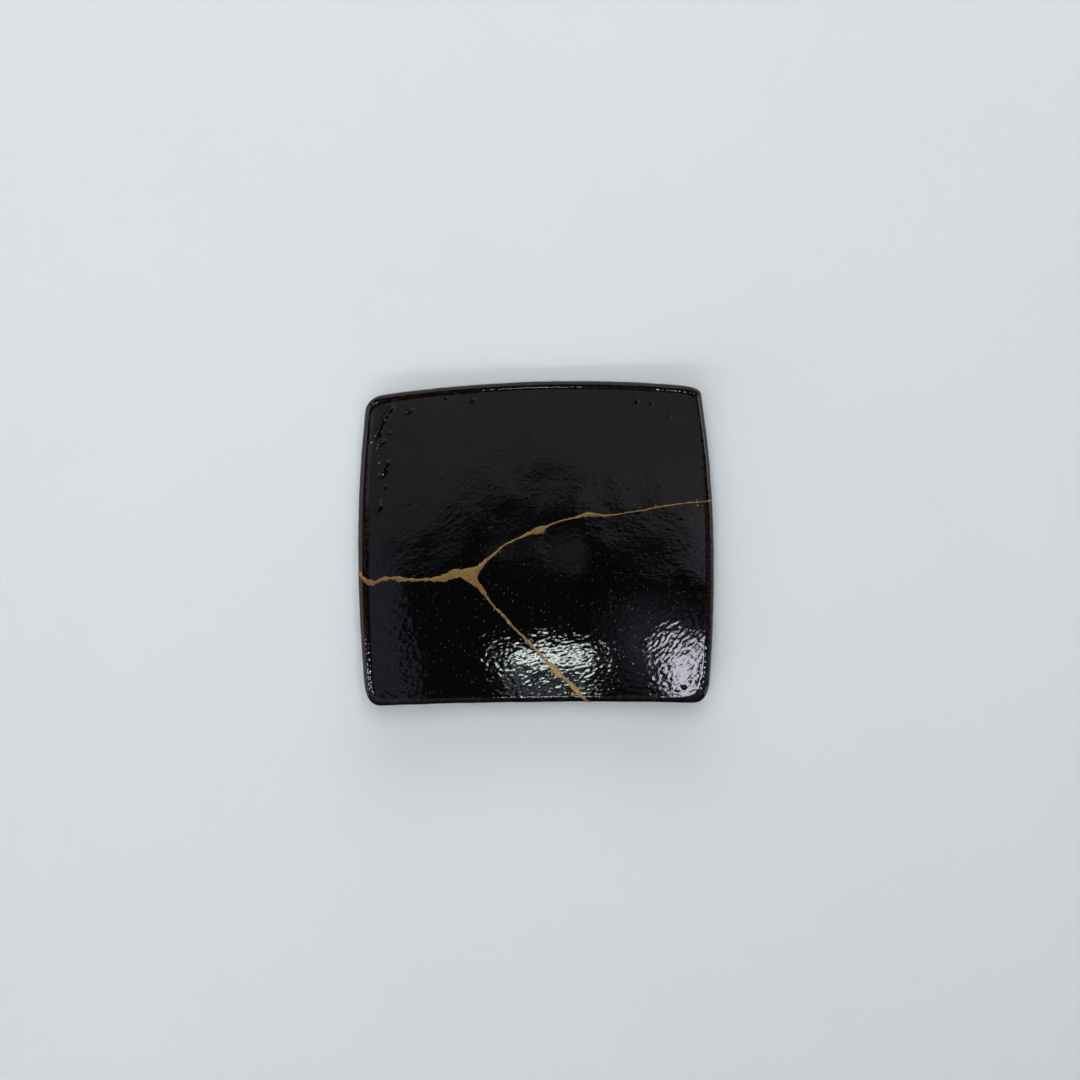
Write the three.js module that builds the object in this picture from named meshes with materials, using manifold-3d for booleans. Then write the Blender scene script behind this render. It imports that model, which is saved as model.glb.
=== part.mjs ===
// A small square stoneware plate, black-glazed, that broke into three shards
// and was mended with lacquer and gold powder.
//
// Millimetres, +Z up out of the dish. The plate lies on its flat unglazed
// foot, with the origin under the middle of its plan. +X runs along the far
// and near sides, +Y points to the far side.

import * as THREE from 'three';
import { mergeVertices } from 'three/addons/utils/BufferGeometryUtils.js';
import Module from 'manifold-3d';

// ---- driving dimensions ------------------------------------------------------

// Plan: four sides bowed outwards between corners that are not quite square,
// as hand-cut slabs come out. Counter-clockwise from the far right corner.
const SIDES = [
  { name: 'far',   corner: [50.0, 54.3],    round: 4.2, bow: 0.9, lip: 2.4 },
  { name: 'left',  corner: [-51.5, 50.6],   round: 5.3, bow: 2.8, lip: 3.4 },
  { name: 'near',  corner: [-53.25, -52.8], round: 8.6, bow: 2.2, lip: 2.4 },
  { name: 'right', corner: [53.7, -51.7],   round: 5.0, bow: 3.3, lip: 2.6 },
];

const FLOOR_THICKNESS = 4.5;   // clay and glaze at the middle of the dish
const DISH_RISE = 8.0;         // rise from the middle to the middle of a side
const DISH_HALF_X = 55.0;      // half span over which that rise happens
const DISH_HALF_Y = 54.0;
const DISH_POWER = 2.1;        // a little fuller than a parabola

const WALL_DEPTH = 4.7;        // wall depth between the rim and the foot
const FOOT_SCALE = 0.54;       // flat foot, as a share of the outline
const FOOT_EDGE = 0.8;         // height of the foot's eased lower edge

// Rim section, from the crisp inner edge of the lip over the round nose to the
// back: inset from the outline (in lip widths on the lip, in mm behind it) and
// drop below the dish surface.
const LIP_SECTION = [[1.0, 0.0], [0.62, 0.15], [0.30, 0.5], [0.10, 1.0]];
const NOSE_SECTION = [[0.0, 1.75], [0.15, 2.6], [0.7, 3.5], [1.7, 4.2]];
const BACK_START = 3.6;        // inset at which the back of the wall begins

// The mend: a lacquer joint of T section. A bead of gold lies along the crack
// on the face, over the rim and along the back, on a thin web of lacquer that
// fills the crack through the wall.
const BEAD_PROUD = 0.2;        // how far the bead stands off the glaze
const BEAD_DEPTH = 0.5;        // how deep it is bedded in the chipped edges
const WEB_HALF = 0.3;          // half thickness of the lacquer in the crack
const BEAD_HALF_MIN = 0.5;     // half width of the thinnest stretch of bead
const JUNCTION_RADIUS = 2.0;   // pool of gold where the three cracks meet
const JOINT_GAP = 0.15;        // clearance between the joint and the shards
const BASE_RECESS = 0.15;      // the joint stays this far above the foot's flat

// Cracks in plan: x, y, half width of the bead. All three start at the
// junction and run out past the rim.
const JUNCTION = [-20.5, -12.8];
const CRACKS = {
  left: [
    [-23.4, -12.3, 1.2], [-26.4, -12.7, 1.3], [-30.8, -13.7, 0.8],
    [-36.0, -13.6, 0.5], [-42.0, -12.8, 0.7], [-47.0, -12.2, 0.55],
    [-51.8, -12.8, 0.75], [-55.0, -10.4, 0.5],
  ],
  right: [
    [-18.0, -10.8, 0.95], [-13.5, -6.6, 0.5], [-8.0, -2.3, 0.5],
    [-2.5, 0.3, 0.55], [1.0, 1.8, 1.1], [5.0, 3.8, 0.5], [11.5, 6.0, 0.5],
    [16.5, 7.3, 0.7], [23.0, 7.4, 0.5], [34.0, 9.9, 0.5], [44.0, 12.7, 0.5],
    [54.2, 14.9, 0.5],
  ],
  near: [
    [-18.4, -16.2, 0.85], [-15.4, -20.4, 0.5], [-11.0, -25.7, 0.5],
    [-5.0, -32.4, 0.5], [0.0, -37.5, 0.5], [4.0, -41.8, 0.6],
    [6.7, -44.5, 1.1], [9.5, -46.8, 0.55], [12.4, -49.5, 0.85],
    [17.2, -54.1, 0.5],
  ],
};
const CRACK_OVERRUN = 6.0;     // straight run past the rim
const CRACK_STEP = 3.4;        // sampling along a crack

// Mesh fineness
const SIDE_STEPS = 11;
const CORNER_STEPS = 4;
const FACE_RINGS = [0.88, 0.74, 0.58, 0.4, 0.2];
const BACK_RINGS = [0.86, 0.72, 0.61];

// ---- the plate ------------------------------------------------------------------

const dishHeight = (x, y) => FLOOR_THICKNESS + DISH_RISE * (
  Math.abs(x / DISH_HALF_X) ** DISH_POWER + Math.abs(y / DISH_HALF_Y) ** DISH_POWER);

// One bowed side as a curve between its two sharp corners.
function sideCurve(i) {
  const a = new THREE.Vector2(...SIDES[i].corner);
  const b = new THREE.Vector2(...SIDES[(i + 1) % 4].corner);
  const along = b.clone().sub(a);
  const out = new THREE.Vector2(along.y, -along.x).normalize();
  return {
    length: along.length(),
    at: (t) => a.clone().addScaledVector(along, t)
      .addScaledVector(out, 4 * t * (1 - t) * SIDES[i].bow),
  };
}

// The plan outline, counter-clockwise, with the lip width at each point.
function outline() {
  const ring = [];
  const curves = SIDES.map((_, i) => sideCurve(i));
  SIDES.forEach((side, i) => {
    const next = SIDES[(i + 1) % 4];
    const t0 = side.round / curves[i].length;
    const t1 = 1 - next.round / curves[i].length;
    for (let k = 0; k < SIDE_STEPS; k++) {
      const t = THREE.MathUtils.lerp(t0, t1, k / SIDE_STEPS);
      ring.push({ p: curves[i].at(t), lip: side.lip });
    }
    const corner = new THREE.QuadraticBezierCurve(
      curves[i].at(t1), new THREE.Vector2(...next.corner),
      curves[(i + 1) % 4].at(next.round / curves[(i + 1) % 4].length));
    for (let k = 0; k < CORNER_STEPS; k++) {
      const t = k / CORNER_STEPS;
      ring.push({ p: corner.getPoint(t), lip: THREE.MathUtils.lerp(side.lip, next.lip, t) });
    }
  });
  ring.forEach((r, k) => {
    const ahead = ring[(k + 1) % ring.length].p;
    const behind = ring[(k + ring.length - 1) % ring.length].p;
    r.inward = ahead.clone().sub(behind).rotateAround(new THREE.Vector2(), Math.PI / 2).normalize();
  });
  return ring;
}

// The closed plate as rings of points from the middle of the face, out over
// the rim and back in to the middle of the underside.
function plateGeometry() {
  const edge = outline();
  const n = edge.length;
  const inset = (r, d) => r.p.clone().addScaledVector(r.inward, d);
  const onDish = (p, drop) => new THREE.Vector3(p.x, p.y, dishHeight(p.x, p.y) - drop);
  const rings = [];
  for (const s of [...FACE_RINGS].reverse()) {
    rings.push(edge.map((r) => onDish(inset(r, r.lip).multiplyScalar(s), 0)));
  }
  for (const [d, drop] of LIP_SECTION) {
    rings.push(edge.map((r) => onDish(inset(r, d * r.lip), drop)));
  }
  for (const [d, drop] of NOSE_SECTION) {
    rings.push(edge.map((r) => onDish(inset(r, d), drop)));
  }
  rings.push(edge.map((r) => onDish(inset(r, BACK_START), WALL_DEPTH)));
  for (const s of BACK_RINGS) {
    rings.push(edge.map((r) => onDish(inset(r, BACK_START).multiplyScalar(s), WALL_DEPTH)));
  }
  for (const [grow, z] of [[1.03, FOOT_EDGE], [1, 0]]) {
    rings.push(edge.map((r) => {
      const p = inset(r, BACK_START).multiplyScalar(FOOT_SCALE * grow);
      return new THREE.Vector3(p.x, p.y, z);
    }));
  }
  const position = [0, 0, dishHeight(0, 0)];
  for (const ring of rings) for (const v of ring) position.push(v.x, v.y, v.z);
  const last = rings.length * n + 1;
  position.push(0, 0, 0);
  const index = [];
  const at = (j, k) => 1 + j * n + (k % n);
  for (let k = 0; k < n; k++) {
    index.push(0, at(0, k), at(0, k + 1));
    for (let j = 0; j + 1 < rings.length; j++) {
      index.push(at(j, k), at(j + 1, k), at(j + 1, k + 1));
      index.push(at(j, k), at(j + 1, k + 1), at(j, k + 1));
    }
    index.push(last, at(rings.length - 1, k + 1), at(rings.length - 1, k));
  }
  const geometry = new THREE.BufferGeometry();
  geometry.setAttribute('position', new THREE.Float32BufferAttribute(position, 3));
  geometry.setIndex(index);
  geometry.computeVertexNormals();
  return geometry;
}

// The same plate grown or shrunk along its surface normals.
function offsetPlate(distance) {
  const geometry = plateGeometry();
  const { position, normal } = geometry.attributes;
  for (let i = 0; i < position.count; i++) {
    position.setXYZ(i,
      position.getX(i) + normal.getX(i) * distance,
      position.getY(i) + normal.getY(i) * distance,
      position.getZ(i) + normal.getZ(i) * distance);
  }
  return geometry;
}

// ---- the cracks -----------------------------------------------------------------

// A crack as a smooth path with its bead half width along it.
function crackStations(points) {
  const start = [...JUNCTION, points[0][2]];
  const a = points.at(-2), b = points.at(-1);
  const run = Math.hypot(b[0] - a[0], b[1] - a[1]);
  const end = [
    b[0] + (b[0] - a[0]) / run * CRACK_OVERRUN,
    b[1] + (b[1] - a[1]) / run * CRACK_OVERRUN, b[2]];
  const curve = new THREE.CatmullRomCurve3(
    [start, ...points, end].map(([x, y, w]) => new THREE.Vector3(x, y, w)), false, 'centripetal');
  const steps = Math.round(curve.getLength() / CRACK_STEP);
  return curve.getSpacedPoints(steps);
}

// The crack widened to a band in plan and drawn up through the plate.
function crackCurtain(stations, halfWidth) {
  const left = [], right = [];
  stations.forEach((s, i) => {
    const a = stations[Math.max(i - 1, 0)], b = stations[Math.min(i + 1, stations.length - 1)];
    const side = new THREE.Vector2(a.y - b.y, b.x - a.x).normalize();
    const p = new THREE.Vector2(s.x, s.y), w = halfWidth(s);
    left.push(p.clone().addScaledVector(side, w));
    right.unshift(p.clone().addScaledVector(side, -w));
  });
  const geometry = new THREE.ExtrudeGeometry(new THREE.Shape([...left, ...right]), { depth: 40, bevelEnabled: false });
  return geometry.translate(0, 0, -10);
}

function junctionPool(radius) {
  return new THREE.CylinderGeometry(radius, radius, 40, 12)
    .rotateX(Math.PI / 2).translate(JUNCTION[0], JUNCTION[1], 10);
}

// ---- solids ----------------------------------------------------------------------

const wasm = await Module();
wasm.setup();

function solid(geometry) {
  const bare = geometry.clone();
  bare.deleteAttribute('normal');
  bare.deleteAttribute('uv');
  const merged = mergeVertices(bare, 1e-5);
  return new wasm.Manifold(new wasm.Mesh({
    numProp: 3,
    vertProperties: new Float32Array(merged.attributes.position.array),
    triVerts: new Uint32Array(merged.index.array),
  }));
}

const cutBelow = (body, z) =>
  body.subtract(solid(new THREE.BoxGeometry(200, 200, 40).translate(0, 0, z - 20)));

const cracks = Object.values(CRACKS).map(crackStations);

// All three cracks as one upright band, with the bead's or the web's width.
function bands(extra) {
  const bead = (s) => Math.max(s.z, BEAD_HALF_MIN) + extra;
  const web = () => WEB_HALF + extra;
  const join = (list) => list.reduce((sum, body) => sum.add(body));
  return {
    bead: join([...cracks.map((c) => solid(crackCurtain(c, bead))), solid(junctionPool(JUNCTION_RADIUS + extra))]),
    web: join(cracks.map((c) => solid(crackCurtain(c, web)))),
  };
}

const joint = bands(0);
const room = bands(JOINT_GAP);

// The joint: bead shells on face, rim and back, tied together by the web.
const core = solid(offsetPlate(-BEAD_DEPTH));
const goldSeam = cutBelow(solid(offsetPlate(BEAD_PROUD)), BASE_RECESS)
  .intersect(joint.bead.subtract(core).add(joint.web));

// The shards: the plate with room left for the joint.
const roomCore = solid(offsetPlate(-BEAD_DEPTH - JOINT_GAP));
const shards = solid(offsetPlate(0))
  .subtract(room.bead.subtract(roomCore).add(room.web))
  .decompose()
  .filter((body) => body.volume() > 1);

function middle(body) {
  const { min, max } = body.boundingBox();
  return [(min[0] + max[0]) / 2, (min[1] + max[1]) / 2];
}
shards.sort((a, b) => middle(b)[1] - middle(a)[1]);
const [upper, ...lower] = shards;
lower.sort((a, b) => middle(a)[0] - middle(b)[0]);

function mesh(name, body, material) {
  const { vertProperties, triVerts, numProp } = body.getMesh();
  const position = [];
  for (let i = 0; i < vertProperties.length; i += numProp) {
    position.push(vertProperties[i], vertProperties[i + 1], vertProperties[i + 2]);
  }
  const geometry = new THREE.BufferGeometry();
  geometry.setAttribute('position', new THREE.Float32BufferAttribute(position, 3));
  geometry.setIndex([...triVerts]);
  geometry.computeVertexNormals();
  const m = new THREE.Mesh(geometry, material);
  m.name = name;
  return m;
}

const blackGlaze = () => new THREE.MeshStandardMaterial({ color: 0x0d0c0c, roughness: 0.1, metalness: 0 });
const goldPowder = new THREE.MeshStandardMaterial({ color: 0xb08440, roughness: 0.45, metalness: 0.9 });

const plate = new THREE.Group();
plate.add(
  mesh('shard_upper', upper, blackGlaze()),
  mesh('shard_lower_left', lower[0], blackGlaze()),
  mesh('shard_lower_right', lower[1], blackGlaze()),
  mesh('gold_seam', goldSeam, goldPowder),
);

export default plate;
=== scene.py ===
import math

import bpy
import numpy as np
from mathutils import Matrix, Vector


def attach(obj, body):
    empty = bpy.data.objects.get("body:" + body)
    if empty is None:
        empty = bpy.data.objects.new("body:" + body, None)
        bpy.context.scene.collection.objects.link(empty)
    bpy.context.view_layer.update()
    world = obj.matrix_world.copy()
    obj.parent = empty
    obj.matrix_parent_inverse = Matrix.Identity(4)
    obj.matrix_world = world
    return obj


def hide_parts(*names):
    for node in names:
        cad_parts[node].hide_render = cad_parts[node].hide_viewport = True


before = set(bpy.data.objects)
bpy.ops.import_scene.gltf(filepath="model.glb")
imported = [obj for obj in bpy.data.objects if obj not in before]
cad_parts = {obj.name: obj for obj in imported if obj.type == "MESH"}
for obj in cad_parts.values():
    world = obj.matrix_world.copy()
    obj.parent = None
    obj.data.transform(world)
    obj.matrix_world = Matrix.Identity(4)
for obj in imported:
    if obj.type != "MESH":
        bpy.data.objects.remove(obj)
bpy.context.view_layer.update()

MM = 0.001

# ---------------------------------------------------------------------------
# Sizes, in millimetres, in the part's own frame
# ---------------------------------------------------------------------------

# corner, how far its rounding reaches back and ahead, outward bow and lip width of the side that starts there,
# counter-clockwise from the far right corner: far, left, near, right
SIDES = (
    ((50.0, 54.3), (2.4, 7.2), 0.9, 2.4),
    ((-51.5, 50.6), (5.3, 5.3), 2.8, 3.4),
    ((-53.25, -52.8), (7.4, 4.8), 2.2, 2.4),
    ((54.1, -51.7), (4.8, 7.4), 3.2, 2.6),
)
DISH_ROUND = (0.4, 0.5, 0.8, 1.7)    # how far each corner of the dish is eased
FLOOR_T, RISE, HALF_X, HALF_Y, POWER = 4.5, 8.0, 55.0, 54.0, 2.1
WALL, NOSE_DROP, BACK_START = 4.7, 1.9, 3.6
LIP_A, LIP_B, NOSE_P = 2.2, 1.6, 1.8
FOOT_SCALE, FOOT_EDGE = 0.54, 0.8

RIPPLE = 0.52       # strength of the glaze waves in the middle
GRID = 312          # face cells along a side
LIP_RINGS = 14
NOSE_RINGS = 9

# ---------------------------------------------------------------------------
# Smooth noise
# ---------------------------------------------------------------------------

_LATTICE = {}


def noise(x, y, seed):
    """Gradient noise, one cell to the unit, about -0.7 to 0.7."""
    if seed not in _LATTICE:
        ang = np.random.RandomState(seed).rand(256, 256) * 2 * np.pi
        _LATTICE[seed] = (np.cos(ang), np.sin(ang))
    gx, gy = _LATTICE[seed]
    x = np.asarray(x, float) + 128.37
    y = np.asarray(y, float) + 128.61
    xi, yi = np.floor(x).astype(int), np.floor(y).astype(int)
    fx, fy = x - xi, y - yi
    u = fx * fx * fx * (fx * (fx * 6 - 15) + 10)
    v = fy * fy * fy * (fy * (fy * 6 - 15) + 10)

    def dot(a, b):
        i, j = (xi + a) & 255, (yi + b) & 255
        return gx[i, j] * (fx - a) + gy[i, j] * (fy - b)

    n0 = dot(0, 0) * (1 - u) + dot(1, 0) * u
    n1 = dot(0, 1) * (1 - u) + dot(1, 1) * u
    return n0 * (1 - v) + n1 * v


def smooth(a, b, x):
    t = np.clip((np.asarray(x, float) - a) / (b - a), 0, 1)
    return t * t * (3 - 2 * t)


# ---------------------------------------------------------------------------
# The plate
# ---------------------------------------------------------------------------


def dish(x, y):
    return FLOOR_T + RISE * (np.abs(x / HALF_X) ** POWER + np.abs(y / HALF_Y) ** POWER)


def outline(n):
    """n points a side from corner to corner, counter-clockwise from the far right corner, with inward normals and lip widths."""
    cor = [np.array(s[0], float) for s in SIDES]

    def side(i, t):
        a, b = cor[i], cor[(i + 1) % 4]
        d = b - a
        out = np.array([d[1], -d[0]]) / np.hypot(*d)
        t = np.atleast_1d(t)
        return a + np.outer(t, d) + np.outer(4 * t * (1 - t) * SIDES[i][2], out)

    pts, lip, mids = [], [], []
    for i in range(4):
        j = (i + 1) % 4
        li = np.hypot(*(cor[j] - cor[i]))
        lj = np.hypot(*(cor[(j + 1) % 4] - cor[j]))
        t0, t1 = SIDES[i][1][1] / li, 1 - SIDES[j][1][0] / li
        pts.append(side(i, np.linspace(t0, t1, 600, endpoint=False)))
        lip.append(np.full(600, SIDES[i][3]))
        a, b = side(i, t1)[0], side(j, SIDES[j][1][1] / lj)[0]
        s = np.linspace(0, 1, 80, endpoint=False)[:, None]
        mids.append(sum(len(p) for p in pts) + 40)
        pts.append((1 - s) ** 2 * a + 2 * s * (1 - s) * cor[j] + s ** 2 * b)
        lip.append(SIDES[i][3] + (SIDES[j][3] - SIDES[i][3]) * smooth(0, 1, s[:, 0]))
    p, w = np.concatenate(pts), np.concatenate(lip)
    p, w = np.roll(p, -mids[3], 0), np.roll(w, -mids[3])
    marks = [0] + [(m - mids[3]) % len(p) for m in mids[:3]] + [len(p)]
    closed = np.vstack([p, p[:1]])
    arc = np.r_[0, np.cumsum(np.hypot(*np.diff(closed, axis=0).T))]
    at = np.concatenate([
        np.linspace(arc[marks[i]], arc[marks[i + 1]], n, endpoint=False) for i in range(4)])
    wide = np.r_[w, w[:1]]
    # lips change width gently over a couple of centimetres round the corners
    ker = np.hanning(161)
    ker /= ker.sum()
    wide = np.convolve(np.r_[wide[-81:-1], wide, wide[1:81]], ker, "valid")
    q = np.column_stack([np.interp(at, arc, closed[:, 0]), np.interp(at, arc, closed[:, 1])])
    d = np.roll(q, -1, 0) - np.roll(q, 1, 0)
    inward = np.column_stack([-d[:, 1], d[:, 0]]) / np.hypot(*d.T)[:, None]
    return q, inward, np.interp(at, arc, wide)


def hand(x, y):
    """Slow unevenness of a slab pressed by hand."""
    return 0.16 * noise(x / 26, y / 26, 11) + 0.07 * noise(x / 11, y / 11, 12)


def ripple(x, y):
    """Pebbled skin of the thick glaze, a little drawn out sideways."""
    r = 0.016 * noise(x / 4.4, y / 2.7, 21)
    r = r + 0.022 * noise(x / 1.6 + 7.3, y / 0.90, 22)
    r = r + 0.012 * noise(x / 1.0, y / 0.60 + 3.1, 23)
    r = r * (RIPPLE + 0.86 * smooth(-14, -34, y))
    # steeper, slanting waves above the near right corner
    u, w = 0.57 * x + 0.82 * y, 0.57 * y - 0.82 * x
    slant = 0.048 * noise(u / 2.1, w / 0.85, 24) + 0.012 * noise(u / 1.1, w / 0.55, 25)
    here = np.exp(-((x - 43) / 10) ** 2 - ((y + 30) / 9) ** 2)
    return r * (1 - 0.7 * here) + slant * here


def face_height(x, y):
    return dish(x, y) + hand(x, y) + ripple(x, y)


def coons(near, right, far, left):
    """Plan points of a square patch, indexed [along x, along y], from its four edges."""
    m = len(near)
    u = np.linspace(0, 1, m)[:, None, None]
    v = np.linspace(0, 1, m)[None, :, None]
    s = (1 - v) * near[:, None] + v * far[:, None] + (1 - u) * left[None] + u * right[None]
    s -= (1 - u) * (1 - v) * near[0] + u * (1 - v) * near[-1] + (1 - u) * v * far[0] + u * v * far[-1]
    for _ in range(40):
        s[1:-1, 1:-1] = 0.25 * (s[2:, 1:-1] + s[:-2, 1:-1] + s[1:-1, 2:] + s[1:-1, :-2])
    return s


def patch_edges(ring):
    """near, right, far and left edges of a ring that starts at the far right corner."""
    n = len(ring) // 4
    c = np.vstack([ring, ring[:1]])
    return c[2 * n:3 * n + 1], c[3 * n:4 * n + 1], c[:n + 1][::-1], c[n:2 * n + 1][::-1]


def patch_ring(n):
    """Grid index of each ring point."""
    k = np.arange(4 * n)
    i = np.select([k < n, k < 2 * n, k < 3 * n], [n - k, 0 * k, k - 2 * n], n + 0 * k)
    j = np.select([k < n, k < 2 * n, k < 3 * n], [n + 0 * k, 2 * n - k, 0 * k], k - 3 * n)
    return i * (n + 1) + j


def build_plate():
    n = GRID
    q, inward, lip = outline(n)
    # the edge was cut by hand and softened by the glaze
    k = np.arange(4 * n)
    q = q + inward * (0.10 * noise(q[:, 0] / 9, q[:, 1] / 9, 41) + 0.05 * noise(q[:, 0] / 3, q[:, 1] / 3, 42))[:, None]
    verts, quads, tris = [], [], []

    # face
    inner = q + inward * lip[:, None]
    # the dish's corners are rounder than the rim's, most at the near right
    h = int(12 * n / 105)
    ker = np.hanning(2 * h + 1) / np.hanning(2 * h + 1).sum()
    soft = np.column_stack([np.convolve(np.r_[c[-h:], c, c[:h]], ker, "valid") for c in inner.T])
    ease = sum(a * smooth(30, 18, np.hypot(*(q - s[0]).T)) for a, s in zip(DISH_ROUND, SIDES))
    inner = inner + (soft - inner) * ease[:, None]
    g = coons(*patch_edges(inner))
    gx, gy = g[..., 0].ravel(), g[..., 1].ravel()
    verts.append(np.column_stack([gx, gy, face_height(gx, gy)]))
    idx = np.arange((n + 1) ** 2).reshape(n + 1, n + 1)
    quads.append(np.stack([idx[:-1, :-1], idx[1:, :-1], idx[1:, 1:], idx[:-1, 1:]], -1).reshape(-1, 4))
    ring = patch_ring(n)
    count = (n + 1) ** 2

    def band(a, b):
        a2, b2 = np.roll(a, -1), np.roll(b, -1)
        quads.append(np.column_stack([a, b, b2, a2]))

    def halve(a, b):
        """Joins a ring to one with half as many points."""
        a0, a1, a2 = a[0::2], a[1::2], np.roll(a, -2)[0::2]
        b2 = np.roll(b, -1)
        tris.extend([np.column_stack([a0, b, a1]), np.column_stack([a1, b, b2]), np.column_stack([a1, b2, a2])])

    def push(points, drop=None, z=None, skin=1.0, pitted=0.0):
        nonlocal count
        x, y = points[:, 0], points[:, 1]
        if z is None:
            z = dish(x, y) + hand(x, y) - drop + skin * ripple(x, y)
            z = z + pitted * (0.25 + 0.65 * np.maximum(smooth(-35, 10, x), smooth(-12, -28, y))) * (0.060 * noise(x / 1.1, y / 1.1, 45) + 0.032 * noise(x / 0.62, y / 0.62, 46))
        verts.append(np.column_stack([x, y, z]))
        count += len(points)
        return np.arange(count - len(points), count)

    # lip: from the dish over a soft crest to the outermost point
    crest = 0.5 + 0.9 * noise(q[:, 0] / 5, q[:, 1] / 5, 43)
    for j in range(1, LIP_RINGS + 1):
        th = math.pi / 2 * j / LIP_RINGS
        e = math.sin(th) ** (2 / LIP_A)
        drop = NOSE_DROP * (1 - math.cos(th) ** (2 / LIP_B)) * (1 + 0.06 * crest)
        r = push(q + (inner - q) * (1 - e), drop, skin=0.75, pitted=min(1.0, 2.2 * e))
        band(ring, r)
        ring = r
    # nose: round to the back of the wall
    for j in range(1, NOSE_RINGS + 1):
        th = math.pi / 2 * j / NOSE_RINGS
        gf = 1 - math.cos(th) ** (2 / NOSE_P)
        drop = NOSE_DROP * (1 + 0.06 * crest) * (1 - gf) + NOSE_DROP * gf
        drop = drop + (WALL - NOSE_DROP) * math.sin(th) ** (2 / NOSE_P)
        r = push(q + inward * (BACK_START * gf), drop, skin=0.8, pitted=1 - gf)
        band(ring, r)
        ring = r
    # back of the wall
    back = (q + inward * BACK_START)[0::2]
    first = True
    for s in np.linspace(0.98, 0.615, 19):
        r = push(back * s, WALL, skin=0.9)
        (halve if first else band)(ring, r)
        first = False
        ring = r
    # foot: an eased step down to the bare flat
    bx, by = back[:, 0], back[:, 1]
    wob = 1 + 0.006 * noise(bx / 6, by / 6, 44)
    top = dish(bx * 0.6, by * 0.6) - WALL
    for s, f in ((0.600, 0.98), (0.590, 0.86), (0.580, 0.66), (0.570, 0.44), (0.562, 0.25), (0.555, 0.11), (0.549, 0.03)):
        r = push(back * (s * wob)[:, None], z=top * f)
        band(ring, r)
        ring = r
    r = push(back * (FOOT_SCALE * wob)[:, None], z=0 * bx)
    band(ring, r)
    ring = r
    flat = (back * (FOOT_SCALE * wob)[:, None])[0::2] * 0.985
    r = push(flat, z=0 * flat[:, 0])
    halve(ring, r)
    ring = r
    m = n // 4
    g = coons(*patch_edges(flat))
    gi = patch_ring(m)
    remap = np.full((m + 1) ** 2, -1)
    remap[gi] = ring
    free = np.where(remap < 0)[0]
    gf = g.reshape(-1, 2)[free]
    remap[free] = push(gf, z=0 * gf[:, 0])
    idx = remap.reshape(m + 1, m + 1)
    quads.append(np.stack([idx[:-1, :-1], idx[:-1, 1:], idx[1:, 1:], idx[1:, :-1]], -1).reshape(-1, 4))

    v = np.concatenate(verts)
    f4 = np.concatenate(quads)
    f = np.concatenate([f4[:, [0, 1, 2]], f4[:, [0, 2, 3]]] + tris)
    a, b, c = v[f[:, 0]], v[f[:, 1]], v[f[:, 2]]
    if np.einsum("ij,ij->i", a, np.cross(b, c)).sum() < 0:
        f = f[:, ::-1]
    return v, f


# rows of small dents where the glaze crawled, from one point to another, with half width and depth
DENTS = (
    (-43.9, 47.5, -47.1, 42.0, 0.62, 0.15), (-47.1, 42.0, -48.9, 36.9, 0.66, 0.16), (-46.4, 35.3, -48.4, 33.8, 0.60, 0.15),
    (-45.7, 27.9, -46.7, 25.7, 0.56, 0.14), (-46.7, 25.7, -47.5, 23.0, 0.58, 0.15), (-39.8, 44.6, -37.6, 45.7, 0.52, 0.13),
    (-45.0, 38.4, -44.8, 37.6, 0.42, 0.09), (-46.6, 19.8, -46.5, 18.6, 0.45, 0.11), (-48.4, 14.2, -48.6, 11.2, 0.50, 0.13),
    (-19.9, 47.6, -19.2, 48.2, 0.50, 0.13), (30.6, 48.6, 31.4, 48.0, 0.52, 0.14), (35.2, 48.4, 35.3, 47.6, 0.42, 0.11),
    (-34.0, 47.0, -33.4, 47.3, 0.40, 0.09), (-28.0, 49.0, -27.0, 49.2, 0.40, 0.10), (41.0, 44.0, 41.3, 43.4, 0.40, 0.09),
)
# single pits: x, y, radius, depth
PITS = (
    (46.5, -46.9, 0.50, 0.11), (42.7, -44.5, 0.34, 0.05), (48.4, -44.9, 0.32, 0.05), (44.3, -48.1, 0.34, 0.05),
    (39.3, -40.8, 0.32, 0.05), (11.3, -50.7, 0.55, 0.16),
)
# pale grains of sand caught in the glaze: x, y, radius
GRAINS = ((-50.4, 35.1, 0.38), (-48.1, 27.7, 0.30), (-46.0, 42.6, 0.26), (-48.7, 32.9, 0.26), (-48.3, 30.0, 0.20))


def add_dents(v):
    """Dents, pits and grains of the glazed face."""
    rng = np.random.RandomState(81)
    spots = [(x, y, r, -d) for x, y, r, d in PITS]
    for ax, ay, bx, by, half, deep in DENTS:
        m = int(np.hypot(bx - ax, by - ay) / 0.72) + 1
        for t in (np.arange(m) + 0.5) / m:
            k = rng.uniform(0.75, 1.2)
            spots.append((ax + (bx - ax) * t + rng.normal(0, 0.16), ay + (by - ay) * t + rng.normal(0, 0.10), 1.2 * half * k, -1.25 * deep * k))
    for _ in range(80):
        x, y = rng.uniform(-48, 48, 2)
        spots.append((x, y, rng.uniform(0.30, 0.46), -rng.uniform(0.02, 0.06)))
    spots += [(x, y, r, 0.10) for x, y, r in GRAINS]
    x, y, z = v.T
    top = z > dish(x, y) - 1.0
    v = v.copy()
    for sx, sy, r, h in spots:
        k = np.flatnonzero(top & (np.abs(x - sx) < 3 * r) & (np.abs(y - sy) < 3 * r))
        v[k, 2] += h * np.exp(-((x[k] - sx) ** 2 + (y[k] - sy) ** 2) / r ** 2)
    k = np.flatnonzero(top & (np.hypot(x - 11.3, y + 50.7) < 2.5))
    v[k, 2] += 0.09 * np.exp(-((np.hypot(x[k] - 11.3, y[k] + 50.7) - 0.95) / 0.3) ** 2)
    return v


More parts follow.
